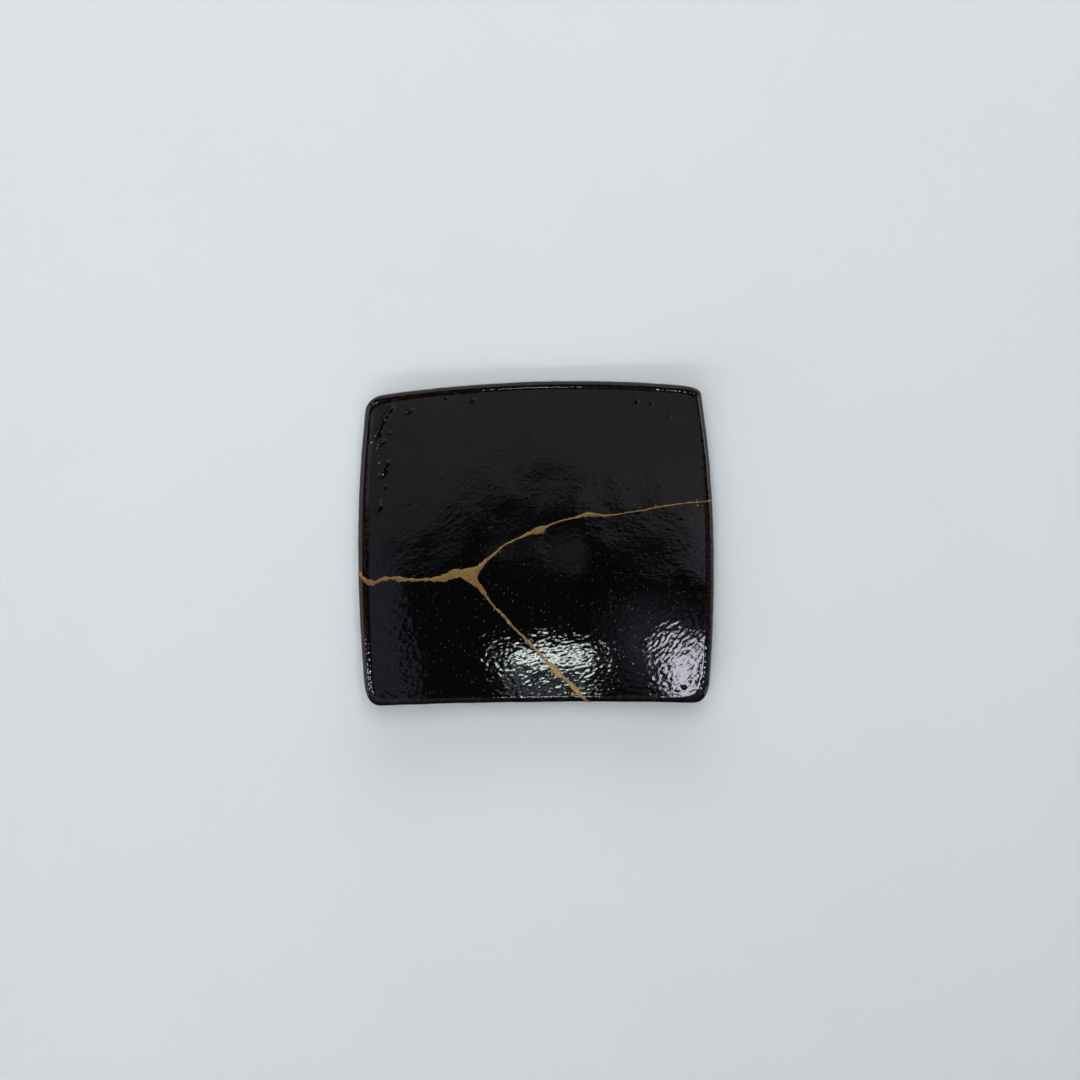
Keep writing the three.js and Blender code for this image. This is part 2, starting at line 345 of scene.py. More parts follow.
def point_normals(v, f):
    n = np.zeros_like(v)
    fn = np.cross(v[f[:, 1]] - v[f[:, 0]], v[f[:, 2]] - v[f[:, 0]])
    for k in range(3):
        np.add.at(n, f[:, k], fn)
    return n / np.maximum(np.linalg.norm(n, axis=1), 1e-12)[:, None]


# ---------------------------------------------------------------------------
# The cracks, as x, y and half width of the gold
# ---------------------------------------------------------------------------

CRACK_LEFT = (
    (-20.5, -12.8, 1.80), (-22.0, -12.5, 1.42), (-23.3, -12.2, 1.18), (-24.5, -12.1, 1.18), (-25.8, -12.4, 1.28),
    (-27.0, -12.95, 1.25), (-28.3, -13.4, 1.18), (-29.5, -13.65, 0.95), (-30.8, -13.7, 0.82), (-32.0, -13.75, 0.60),
    (-34.5, -13.6, 0.48), (-37.0, -13.6, 0.42), (-39.5, -13.2, 0.48), (-40.7, -13.0, 0.58), (-42.0, -12.85, 0.72),
    (-43.2, -12.6, 0.68), (-44.5, -12.2, 0.42), (-45.7, -12.1, 0.44), (-46.9, -12.15, 0.60), (-48.1, -12.35, 0.62),
    (-49.4, -12.8, 0.55), (-50.6, -13.0, 0.72), (-51.9, -12.8, 0.78), (-53.1, -12.0, 0.58), (-54.2, -10.8, 0.45),
    (-55.1, -10.0, 0.52),
)
CRACK_RIGHT = (
    (-20.5, -12.8, 1.80), (-19.2, -11.9, 1.35), (-18.0, -10.8, 0.95), (-16.7, -9.5, 0.68), (-15.5, -8.35, 0.60),
    (-14.2, -7.25, 0.50), (-13.0, -6.1, 0.42), (-11.7, -4.95, 0.36), (-10.5, -3.8, 0.30), (-9.2, -2.9, 0.27),
    (-8.0, -2.25, 0.30), (-5.5, -1.1, 0.30), (-4.2, -0.5, 0.36), (-3.0, 0.15, 0.48), (-1.7, 0.7, 0.60),
    (-0.45, 1.2, 0.82), (0.8, 1.65, 1.02), (1.9, 2.1, 0.92), (3.1, 2.8, 0.48), (4.5, 3.5, 0.29), (7.0, 4.6, 0.27),
    (9.5, 5.4, 0.29), (12.0, 6.05, 0.29), (13.3, 6.4, 0.40), (14.5, 6.9, 0.58), (15.7, 7.25, 0.70), (17.0, 7.4, 0.70),
    (18.2, 7.35, 0.58), (19.5, 7.27, 0.48), (20.7, 7.2, 0.40), (22.0, 7.25, 0.36), (23.2, 7.45, 0.25),
    (26.0, 7.95, 0.22), (29.4, 8.85, 0.22), (34.3, 9.9, 0.22), (35.6, 10.5, 0.24), (40.5, 11.85, 0.23),
    (45.4, 13.05, 0.22), (49.0, 13.9, 0.23), (52.7, 14.6, 0.23), (54.4, 14.95, 0.23),
)
CRACK_NEAR = (
    (-20.5, -12.8, 1.80), (-20.3, -13.8, 1.55), (-19.3, -15.1, 1.08), (-18.1, -16.5, 0.85), (-17.0, -17.85, 0.72),
    (-16.15, -19.2, 0.56), (-15.3, -20.5, 0.36), (-14.4, -21.9, 0.27), (-13.4, -23.2, 0.27), (-12.2, -24.5, 0.34),
    (-10.8, -25.9, 0.36), (-9.65, -27.2, 0.40), (-8.6, -28.5, 0.42), (-7.55, -29.8, 0.32), (-6.3, -31.1, 0.29),
    (-5.0, -32.4, 0.30), (-3.7, -33.7, 0.38), (-2.4, -34.95, 0.45), (-1.25, -36.2, 0.46), (-0.1, -37.5, 0.38),
    (1.15, -38.75, 0.44), (2.25, -40.0, 0.44), (3.45, -41.25, 0.44), (4.7, -42.4, 0.62), (5.9, -43.7, 0.96),
    (7.0, -44.8, 1.00), (8.2, -45.8, 0.58), (9.5, -46.8, 0.44), (10.2, -47.4, 0.48), (11.3, -48.6, 0.64),
    (12.5, -49.7, 0.78), (13.7, -51.0, 0.50), (14.7, -52.2, 0.48), (16.2, -53.35, 0.40), (17.3, -54.2, 0.36),
)
# beads and drips that hang on the edge of the line, and drops beside it: x, y, radius
DROPS = (
    (-13.1, -24.7, 0.24), (-11.7, -25.35, 0.26), (-10.0, -27.1, 0.26), (-8.65, -28.95, 0.36), (-15.6, -19.0, 0.26),
    (1.0, -37.4, 0.34), (12.0, -49.2, 0.42), (13.4, -49.55, 0.42), (5.2, -44.6, 0.40), (-54.5, -9.8, 0.55),
    (-11.1, -5.55, 0.22), (-17.0, -9.9, 0.20),
    (30.6, 11.6, 0.17), (26.4, 13.3, 0.15), (37.2, 11.55, 0.26), (40.8, 12.35, 0.18), (49.8, 14.75, 0.20),
    (50.1, 12.95, 0.30), (-38.0, -12.1, 0.17), (19.3, -49.5, 0.27), (22.9, -49.4, 0.27), (24.4, -49.1, 0.23), (11.6, -51.3, 0.56), (14.0, -49.2, 0.38), (2.3, 0.7, 0.20),
)


def densify(stations, step, beyond=0.0):
    p = np.array(stations, float)
    if beyond:
        d = p[-1, :2] - p[-2, :2]
        d /= np.hypot(*d)
        p = np.vstack([p, [*(p[-1, :2] + d * beyond), p[-1, 2]]])
    # Catmull-Rom through the stations
    e = np.vstack([2 * p[0] - p[1], p, 2 * p[-1] - p[-2]])
    out = []
    for i in range(len(p) - 1):
        a, b, c, d = e[i:i + 4]
        m = max(2, int(np.hypot(*(c - b)[:2]) / step))
        t = np.linspace(0, 1, m, endpoint=False)[:, None]
        out.append(0.5 * (2 * b + (c - a) * t + (2 * a - 5 * b + 4 * c - d) * t ** 2 + (3 * b - a - 3 * c + d) * t ** 3))
    out.append(p[-1:])
    out = np.vstack(out)
    out[:, 2] = np.maximum(out[:, 2], 0.12)
    return out


def brushed(stations, seed):
    """The line as a brush laid it: its width and its course waver."""
    b = densify(stations, 0.12, 4.0)
    s = np.r_[0, np.cumsum(np.hypot(*np.diff(b[:, :2], axis=0).T))]
    calm = smooth(0.5, 3.0, s)
    d = np.gradient(b[:, :2], axis=0)
    side = np.column_stack([-d[:, 1], d[:, 0]]) / np.maximum(np.hypot(*d.T), 1e-9)[:, None]
    shift = b[:, 2] * (0.42 * noise(s / 1.7, s * 0 + 0.3, seed) + 0.22 * noise(s / 0.7, s * 0 + 5.3, seed))
    b[:, :2] += side * (shift * calm)[:, None]
    b[:, 2] *= 1 + calm * (0.55 * noise(s / 1.4, s * 0 + 9.3, seed) + 0.30 * noise(s / 0.55, s * 0 + 13.3, seed))
    return b


BRANCHES = [brushed(c, 55 + i) for i, c in enumerate((CRACK_LEFT, CRACK_RIGHT, CRACK_NEAR))]


def tiles(xy, size=5.0):
    """Groups of point numbers that lie in the same square of the plan."""
    key = np.floor(xy[:, 0] / size).astype(int) * 1000 + np.floor(xy[:, 1] / size).astype(int)
    order = np.argsort(key, kind="stable")
    return np.split(order, np.flatnonzero(np.diff(key[order])) + 1)


def reach(xy, disks, scale=1.0, least=0.0, far=4.5):
    """How deep each point lies inside the union of discs, negative outside."""
    best = np.full(len(xy), -far)
    w = np.maximum(disks[:, 2] * scale, least)
    for part in tiles(xy):
        p = xy[part]
        lo, hi = p.min(0) - far, p.max(0) + far
        k = (disks[:, 0] > lo[0]) & (disks[:, 0] < hi[0]) & (disks[:, 1] > lo[1]) & (disks[:, 1] < hi[1])
        if k.any():
            d = np.hypot(p[:, :1] - disks[k, 0], p[:, 1:] - disks[k, 1])
            best[part] = np.maximum((w[k] - d).max(1), -far)
    return best


def gold_field(xy, behind):
    """Depth inside the gold line; behind is 1 on the back, where the line is plainer."""
    k = 0.45
    total = np.zeros(len(xy))
    plain = np.zeros(len(xy))
    for b in BRANCHES:
        total += np.exp(np.clip(reach(xy, b) / k, -60, 60))
        plain += np.exp(np.clip(reach(xy, b, 0.6, 0.3) / k, -60, 60))
    f = k * np.log(np.maximum(total, 1e-30))
    fb = k * np.log(np.maximum(plain, 1e-30))
    x, y = xy.T
    rough = 0.16 * noise(x / 0.95, y / 0.95, 51) + 0.09 * noise(x / 0.42, y / 0.42, 52)
    f = np.maximum(f + rough, reach(xy, np.array(DROPS, float)) + 0.3 * rough)
    return f * (1 - behind) + (fb + 0.6 * rough) * behind


# ---------------------------------------------------------------------------
# Mesh helpers
# ---------------------------------------------------------------------------


def new_mesh(name, v, f):
    me = bpy.data.meshes.new(name)
    me.vertices.add(len(v))
    me.vertices.foreach_set("co", np.asarray(v, np.float32).ravel())
    me.loops.add(len(f) * 3)
    me.loops.foreach_set("vertex_index", np.asarray(f, np.int32).ravel())
    me.polygons.add(len(f))
    me.polygons.foreach_set("loop_start", np.arange(0, len(f) * 3, 3, dtype=np.int32))
    me.update(calc_edges=True)
    return me


def new_object(name, v, f):
    ob = bpy.data.objects.new(name, new_mesh(name, np.asarray(v) * MM, f))
    bpy.context.scene.collection.objects.link(ob)
    return ob


def read_mesh(me):
    me.calc_loop_triangles()
    v = np.zeros(len(me.vertices) * 3)
    me.vertices.foreach_get("co", v)
    t = np.zeros(len(me.loop_triangles) * 3, np.int32)
    me.loop_triangles.foreach_get("vertices", t)
    return v.reshape(-1, 3), t.reshape(-1, 3)


def prism(path, half, z0, z1):
    """A crack's path widened to a band and drawn from z0 to z1, closed."""
    p = path[:, :2]
    d = np.gradient(p, axis=0)
    side = np.column_stack([-d[:, 1], d[:, 0]]) / np.maximum(np.hypot(*d.T), 1e-9)[:, None]
    h = np.broadcast_to(np.asarray(half, float), (len(p),))[:, None]
    l, r = p + side * h, p - side * h
    m = len(p)
    plan = [np.column_stack([a, np.full(m, z)]) for z in (z0, z1) for a in (l, r)]
    v = np.vstack(plan)
    lb, rb, lt, rt = (np.arange(m) + i * m for i in range(4))
    f = []

    def quad(a, b, c, d_):
        f.append(np.column_stack([a, b, c]))
        f.append(np.column_stack([a, c, d_]))

    s, e = slice(0, -1), slice(1, None)
    quad(lt[s], rt[s], rt[e], lt[e])
    quad(lb[s], lb[e], rb[e], rb[s])
    quad(lb[s], lt[s], lt[e], lb[e])
    quad(rb[s], rb[e], rt[e], rt[s])
    quad(lb[:1], rb[:1], rt[:1], lt[:1])
    quad(lb[-1:], lt[-1:], rt[-1:], rb[-1:])
    return v, np.vstack(f)


def cut(ob, cutters):
    for c in cutters:
        m = ob.modifiers.new("cut", "BOOLEAN")
        m.operation, m.solver, m.object = "DIFFERENCE", "MANIFOLD", c
    dg = bpy.context.evaluated_depsgraph_get()
    me = bpy.data.meshes.new_from_object(ob.evaluated_get(dg))
    v, t = read_mesh(me)
    for c in cutters + [ob]:
        bpy.data.objects.remove(c, do_unlink=True)
    return v / MM, t


def shells(v, t):
    """Splits triangles into connected bodies, largest first."""
    lab = np.arange(len(v))
    e = np.vstack([t[:, [0, 1]], t[:, [1, 2]]])
    while True:
        low = np.minimum(lab[e[:, 0]], lab[e[:, 1]])
        new = lab.copy()
        np.minimum.at(new, e[:, 0], low)
        np.minimum.at(new, e[:, 1], low)
        new = new[new]
        new = new[new]
        if (new == lab).all():
            break
        lab = new
    out = []
    for r in np.unique(lab[t[:, 0]]):
        tt = t[lab[t[:, 0]] == r]
        used, inv = np.unique(tt, return_inverse=True)
        out.append((v[used], inv.reshape(-1, 3)))
    out.sort(key=lambda s: -len(s[1]))
    return out


def weld(v, f):
    """Joins points that fall together and drops the triangles that this closes up."""
    v, inv = np.unique(v, axis=0, return_inverse=True)
    f = inv.reshape(-1)[f]
    return v, f[(f[:, 0] != f[:, 1]) & (f[:, 1] != f[:, 2]) & (f[:, 2] != f[:, 0])]


def subdivide(v, f, extra):
    """Splits each triangle in four; extra is a list of per-point arrays carried along."""
    e = np.vstack([f[:, [0, 1]], f[:, [1, 2]], f[:, [2, 0]]])
    u, inv = np.unique(np.sort(e, 1), axis=0, return_inverse=True)
    inv = inv.reshape(-1)
    m = len(f)
    ab, bc, ca = inv[:m] + len(v), inv[m:2 * m] + len(v), inv[2 * m:] + len(v)
    mid = lambda a: np.concatenate([a, 0.5 * (a[u[:, 0]] + a[u[:, 1]])])
    nf = np.vstack([
        np.column_stack([f[:, 0], ab, ca]), np.column_stack([ab, f[:, 1], bc]),
        np.column_stack([ca, bc, f[:, 2]]), np.column_stack([ab, bc, ca])])
    return mid(v), nf, [mid(a) for a in extra]


def keep_faces(v, f, mask, extra):
    f = f[mask]
    used, inv = np.unique(f, return_inverse=True)
    return v[used], inv.reshape(-1, 3), [a[used] for a in extra]


def clip(v, f, val, extra):
    """The part of a triangle mesh where val is positive, cut along its zero line."""
    val = np.where(np.abs(val) < 0.004, np.where(val >= 0, 0.004, -0.004), val)
    pos = val > 0
    e = np.vstack([f[:, [0, 1]], f[:, [1, 2]], f[:, [2, 0]]])
    u, inv = np.unique(np.sort(e, 1), axis=0, return_inverse=True)
    inv = inv.reshape(-1).reshape(3, -1).T
    cross = pos[u[:, 0]] != pos[u[:, 1]]
    num = np.full(len(u), -1)
    num[cross] = np.arange(cross.sum()) + len(v)
    a, b = u[cross, 0], u[cross, 1]
    t = val[a] / (val[a] - val[b])
    mix = lambda q: np.concatenate([q, q[a] + (q[b] - q[a]) * (t if q.ndim == 1 else t[:, None])])
    out = []
    cnt = pos[f].sum(1)
    out.append(f[cnt == 3])
    for k in range(3):
        p, q, r = f[:, k], f[:, (k + 1) % 3], f[:, (k + 2) % 3]
        epq, erp = num[inv[:, k]], num[inv[:, (k + 2) % 3]]
        one = (cnt == 1) & pos[p]
        out.append(np.column_stack([p, epq, erp])[one])
        two = (cnt == 2) & ~pos[p]
        out.append(np.column_stack([epq, q, r])[two])
        out.append(np.column_stack([epq, r, erp])[two])
    nf = np.vstack(out)
    nv, nval, nextra = mix(v), np.concatenate([val, np.zeros(cross.sum())]), [mix(x) for x in extra]
    used, inv2 = np.unique(nf, return_inverse=True)
    return nv[used], inv2.reshape(-1, 3), nval[used], [x[used] for x in nextra]


# ---------------------------------------------------------------------------
# Build the shards and the gold
# ---------------------------------------------------------------------------

plate_v, plate_f = build_plate()
plate_v = add_dents(plate_v)
plate_n = point_normals(plate_v, plate_f)

HALF_CRACK = 0.06
cutters = []
for i, b in enumerate(BRANCHES):
    c = densify((CRACK_LEFT, CRACK_RIGHT, CRACK_NEAR)[i], 0.5, 4.0)
    d = c[1, :2] - c[0, :2]
    c[0, :2] -= d / np.hypot(*d) * 0.03
    cutters.append(new_object(f"crack{i}", *prism(c, HALF_CRACK, -5, 30)))
    cutters.append(new_object(f"groove{i}", *prism(c, np.maximum(0.6 * c[:, 2], 0.3) + 0.02, -5, 0.14)))
shard_meshes = shells(*cut(new_object("plate", plate_v, plate_f), cutters))
shard_meshes = [weld(*s) for s in shard_meshes if len(s[1]) > 2000]


def make_gold():
    xy = plate_v[:, :2]
    near = np.zeros(len(xy), bool)
    for b in BRANCHES:
        near |= reach(xy, b[::4]) > -1.3
    near |= reach(xy, np.array(DROPS, float)) > -1.3
    # on the back where the normal points down, and on the foot's flat
    behind = smooth(-0.2, -0.7, plate_n[:, 2])
    flat = ((plate_v[:, 2] < 0.004) & (plate_n[:, 2] < -0.9)).astype(float)
    v, f, (nrm, behind_, flat_) = keep_faces(plate_v, plate_f, near[plate_f].any(1), [plate_n, behind, flat])
    for _ in range(2):
        v, f, (nrm, behind_, flat_) = subdivide(v, f, [nrm, behind_, flat_])
        val = gold_field(v[:, :2], behind_)
        v, f, (nrm, behind_, flat_) = keep_faces(v, f, (val[f] > -0.25).any(1), [nrm, behind_, flat_])
    val = gold_field(v[:, :2], behind_)
    v, f, val, (nrm, behind_, flat_) = clip(v, f, val, [nrm, behind_, flat_])
    nrm = nrm / np.linalg.norm(nrm, axis=1)[:, None]
    x, y = v[:, 0], v[:, 1]
    dome = 0.17 * (1 - np.exp(-((val / 0.20) ** 1.2)))
    dome *= 1 + 0.35 * noise(x / 1.3, y / 1.3, 61) + 0.16 * noise(x / 0.45, y / 0.45, 62)
    dome *= 1 - 0.45 * behind_
    dome = dome * (1 - flat_) - 0.03 * flat_
    top = v + nrm * dome[:, None]
    low = v - nrm * (0.07 + 0.09 * flat_)[:, None]
    e = np.vstack([f[:, [0, 1]], f[:, [1, 2]], f[:, [2, 0]]])
    s = np.sort(e, 1)
    _, inv, cnt = np.unique(s, axis=0, return_inverse=True, return_counts=True)
    rim = e[cnt[inv.reshape(-1)] == 1]
    m = len(v)
    wall = np.vstack([
        np.column_stack([rim[:, 1], rim[:, 0], rim[:, 0] + m]),
        np.column_stack([rim[:, 1], rim[:, 0] + m, rim[:, 1] + m])])
    return np.vstack([top, low]), np.vstack([f, f[:, ::-1] + m, wall])


gold_v, gold_f = make_gold()

# ---------------------------------------------------------------------------
# Materials
# ---------------------------------------------------------------------------


class Nodes:
    def __init__(self, mat):
        mat.use_nodes = True
        self.t = mat.node_tree
        self.t.nodes.clear()

    def add(self, kind, **props):
        n = self.t.nodes.new(kind)
        for k, v in props.items():
            setattr(n, k, v)
        return n

    def link(self, a, b):
        self.t.links.new(a, b)

    def place(self, node, sock, val):
        if isinstance(val, bpy.types.NodeSocket):
            self.link(val, node.inputs[sock])
        else:
            node.inputs[sock].default_value = val

    def math(self, op, a, b=None, c=None, clamp=False):
        n = self.add("ShaderNodeMath", operation=op, use_clamp=clamp)
        for i, v in enumerate((a, b, c)):
            if v is not None:
                self.place(n, i, v)
        return n.outputs[0]

    def mix(self, fac, a, b):
        n = self.add("ShaderNodeMix", data_type="RGBA")
        self.place(n, 0, fac)
        self.place(n, 6, a)
        self.place(n, 7, b)
        return n.outputs[2]

    def coords(self, scale):
        tc = self.add("ShaderNodeTexCoord")
        mp = self.add("ShaderNodeMapping")
        mp.inputs["Scale"].default_value = (scale,) * 3
        self.link(tc.outputs["Object"], mp.inputs["Vector"])
        return mp.outputs[0]

    def noise(self, vec, scale, detail=2.0, rough=0.5, dist=0.0):
        n = self.add("ShaderNodeTexNoise")
        self.link(vec, n.inputs["Vector"])
        n.inputs["Scale"].default_value = scale
        n.inputs["Detail"].default_value = detail
        n.inputs["Roughness"].default_value = rough
        n.inputs["Distortion"].default_value = dist
        return n.outputs["Fac"]

    def spots(self, vec, scale, size, chance):
        """Round specks: 1 inside a speck, with only some of the cells filled."""
        n = self.add("ShaderNodeTexVoronoi")
        self.link(vec, n.inputs["Vector"])
        n.inputs["Scale"].default_value = scale
        sep = self.add("ShaderNodeSeparateColor")
        self.link(n.outputs["Color"], sep.inputs[0])
        inside = self.ramp(n.outputs["Distance"], size, size * 0.55)
        some = self.math("LESS_THAN", sep.outputs[0], chance)
        return self.math("MULTIPLY", inside, some), sep.outputs[1]

    def ramp(self, val, lo, hi, a=0.0, b=1.0):
        n = self.add("ShaderNodeMapRange")
        n.interpolation_type = "SMOOTHSTEP"
        self.place(n, 0, val)
        n.inputs[1].default_value = lo
        n.inputs[2].default_value = hi
        n.inputs[3].default_value = a
        n.inputs[4].default_value = b
        return n.outputs[0]

    def attr(self, name):
        n = self.add("ShaderNodeAttribute")
        n.attribute_name = name
        return n.outputs["Fac"]

    def bump(self, height, strength, distance, below=None):
        n = self.add("ShaderNodeBump")
        n.inputs["Strength"].default_value = strength
        n.inputs["Distance"].default_value = distance
        self.link(height, n.inputs["Height"])
        if below is not None:
            self.link(below, n.inputs["Normal"])
        return n.outputs[0]

    def surface(self, **sockets):
        b = self.add("ShaderNodeBsdfPrincipled")
        for k, v in sockets.items():
            self.place(b, k.replace("_", " "), v)
        o = self.add("ShaderNodeOutputMaterial")
        self.link(b.outputs[0], o.inputs["Surface"])
        return b


def glaze_material():
    mat = bpy.data.materials.new("black_glaze")
    n = Nodes(mat)
    mm = n.coords(1000.0)
    thin, foot = n.attr("thin"), n.attr("foot")
    # iron-black body with slow cloudiness
    cloud = n.noise(mm, 0.09, 3)
    black = n.mix(cloud, (0.0008, 0.00075, 0.00085, 1), (0.0019, 0.0016, 0.0018, 1))
    # rust where the glaze runs thin over the lip
    fleck = n.noise(mm, 0.8, 4, 0.65)
    rust = n.math("MULTIPLY", thin, n.ramp(fleck, 0.44, 0.72))
    col = n.mix(rust, black, (0.020, 0.011, 0.0065, 1))
    # specks: the rusty ones are iron in the glaze, the pale grey ones are painted glints of tiny glaze bubbles
    s1, h1 = n.spots(mm, 0.42, 0.10, 0.24)
    tint = n.mix(h1, (0.060, 0.034, 0.017, 1), (0.042, 0.032, 0.025, 1))
    col = n.mix(n.math("MULTIPLY", s1, 0.30), col, tint)
    s2, h2 = n.spots(mm, 0.8, 0.20, 0.34)
    tint2 = n.mix(h2, (0.020, 0.013, 0.008, 1), (0.017, 0.016, 0.016, 1))
    col = n.mix(s2, col, tint2)
    # a hairline that never opened
    xyz = n.add("ShaderNodeSeparateXYZ")
    n.link(mm, xyz.inputs[0])
    drift = n.math("MULTIPLY", n.math("ADD", xyz.outputs[1], 17.2), -0.061)
    off = n.math("ABSOLUTE", n.math("SUBTRACT", n.math("SUBTRACT", xyz.outputs[0], 23.1), drift))
    hair = n.math("MULTIPLY", n.ramp(off, 0.20, 0.06), n.ramp(n.math("ABSOLUTE", n.math("ADD", xyz.outputs[1], 21.3)), 4.4, 3.2))
    col = n.mix(n.math("MULTIPLY", hair, n.ramp(fleck, 0.3, 0.6, 0.1, 0.8)), col, (0.030, 0.016, 0.012, 1))
    # grains of sand
    grain_at = n.attr("fleck")
    col = n.mix(grain_at, col, (0.33, 0.27, 0.18, 1))
    # bare clay foot
    grain = n.noise(mm, 3.2, 4, 0.7)
    clay = n.mix(grain, (0.050, 0.034, 0.025, 1), (0.115, 0.082, 0.060, 1))
    cs, _ = n.spots(mm, 1.4, 0.16, 0.25)
    clay = n.mix(cs, clay, (0.02, 0.014, 0.011, 1))
    col = n.mix(foot, col, clay)
    gloss = n.ramp(n.noise(mm, 0.5, 3), 0.3, 0.8, 0.03, 0.06)
    gloss = n.math("ADD", gloss, n.math("MULTIPLY", n.math("ADD", s1, grain_at), 0.25))
    rough = n.ramp(foot, 0.0, 1.0)
    rough = n.math("ADD", n.math("MULTIPLY", rough, 0.78), n.math("MULTIPLY", gloss, n.math("SUBTRACT", 1.0, rough)))
    peel = n.noise(mm, 1.9, 2, 0.55)
    b1 = n.bump(peel, 0.35, 0.00003)
    b2 = n.bump(n.math("SUBTRACT", s2, s1), 0.4, 0.00003, b1)
    b3 = n.bump(n.math("MULTIPLY", grain, foot), 0.6, 0.0002, b2)
    n.surface(Base_Color=col, Roughness=rough, IOR=1.5, Normal=b3)
    return mat


def gold_material():
    mat = bpy.data.materials.new("gold_lacquer")
    n = Nodes(mat)
    mm = n.coords(1000.0)
    dust = n.noise(mm, 4.5, 3, 0.7)
    patch = n.noise(mm, 0.55, 2)
    edge = n.attr("rimward")
    gold = n.mix(n.ramp(patch, 0.3, 0.7), (0.285, 0.170, 0.049, 1), (0.237, 0.137, 0.038, 1))
    gold = n.mix(edge, gold, (0.275, 0.126, 0.049, 1))
    # painted sheen: the gold turns a paler yellow towards the near side, where it lies by the bright highlight
    gold = n.mix(n.attr("painted_sheen"), gold, (0.37, 0.222, 0.082, 1))
    gold = n.mix(n.ramp(dust, 0.5, 0.75, 0.0, 0.55), gold, (0.15, 0.081, 0.023, 1))
    rough = n.ramp(dust, 0.25, 0.75, 0.26, 0.44)
    lump = n.noise(mm, 1.4, 2)
    b1 = n.bump(lump, 0.5, 0.0001)
    b2 = n.bump(dust, 0.5, 0.00003, b1)
    n.surface(Base_Color=gold, Metallic=0.6, Roughness=rough, Coat_Weight=0.3, Coat_Roughness=0.2, Normal=b2)
    return mat


GLAZE, GOLD = glaze_material(), gold_material()


def plan_depth(xy):
    """Distance in from the outline, in plan."""
    q, _, _ = outline(150)
    rim = np.column_stack([q, np.zeros(len(q))])
    return -reach(xy, rim, far=15.0)


def set_attribute(me, name, val):
    a = me.attributes.new(name, "FLOAT", "POINT")
    a.data.foreach_set("value", np.asarray(val, np.float32))


def finish_piece(ob, mat, node):
    ob.data.materials.append(mat)
    ob.data.polygons.foreach_set("use_smooth", np.ones(len(ob.data.polygons), bool))
    ob.data.set_sharp_from_angle(angle=math.radians(48))
    ob.data.validate()
    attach(ob, "root")
    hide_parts(node)


def place_of(v):
    lo, hi = v.min(0), v.max(0)
    return (lo + hi) / 2


names = {}
by_y = sorted(range(len(shard_meshes)), key=lambda i: -place_of(shard_meshes[i][0])[1])
lower = sorted(by_y[1:], key=lambda i: place_of(shard_meshes[i][0])[0])
names[by_y[0]] = "shard_upper"
names[lower[0]] = "shard_lower_left"
names[lower[1]] = "shard_lower_right"
for i, (v, f) in enumerate(shard_meshes):
    node = names[i]
    ob = new_object("glazed_" + node, v, f)
    x, y, z = v.T
    d = plan_depth(v[:, :2])
    under = z < dish(x, y) - 2.6
    thin = np.exp(-(((d - 1.7) / 0.9) ** 2)) * ~under + 0.6 * np.exp(-((d / 0.8) ** 2))
    line = 0.55 + 0.35 * noise(x / 7, y / 7, 71) + 0.12 * noise(x / 2, y / 2, 72)
    top = np.maximum(dish(x, y) - WALL, 0.05)
    foot = under * smooth(0.12, -0.12, z / np.maximum(top, 0.4) - line * 0.9)
    foot = np.where(d < 14, 0, foot)
    set_attribute(ob.data, "thin", np.clip(thin, 0, 1))
    set_attribute(ob.data, "foot", foot)
    sand = reach(v[:, :2], np.array(GRAINS, float)) / 0.2
    set_attribute(ob.data, "fleck", np.where(under, 0, np.clip(sand, 0, 1)))
    finish_piece(ob, GLAZE, node)

gold = new_object("gold_line", gold_v, gold_f)
gd = plan_depth(gold_v[:, :2])
set_attribute(gold.data, "rimward", np.clip(1.15 - gd / 9, 0, 1) * (gold_v[:, 1] < 5) * (1 - 0.65 * smooth(-26, -40, gold_v[:, 1])))
# painted sheen on the gold, growing towards the near side under the bright overhead highlight
set_attribute(gold.data, "painted_sheen", 0.85 * smooth(-26, -46, gold_v[:, 1]))
finish_piece(gold, GOLD, "gold_seam")

# ---------------------------------------------------------------------------
# Floor, light and camera
# ---------------------------------------------------------------------------


def plane(name, corners):
    ob = new_object(name, np.array(corners, float), np.array([[0, 1, 2], [0, 2, 3]]))
    return ob


def floor():
    s = 5000
    ob = plane("floor", [(-s, -s, 0), (s, -s, 0), (s, s, 0), (-s, s, 0)])
    mat = bpy.data.materials.new("pale_floor")
    n = Nodes(mat)
    m = n.coords(1.0)
    shade = n.noise(m, 9.0, 3)
    col = n.mix(shade, (0.705, 0.735, 0.757, 1), (0.745, 0.772, 0.792, 1))
    n.surface(Base_Color=col, Roughness=0.9, Specular_IOR_Level=0.0)
    ob.data.materials.append(mat)


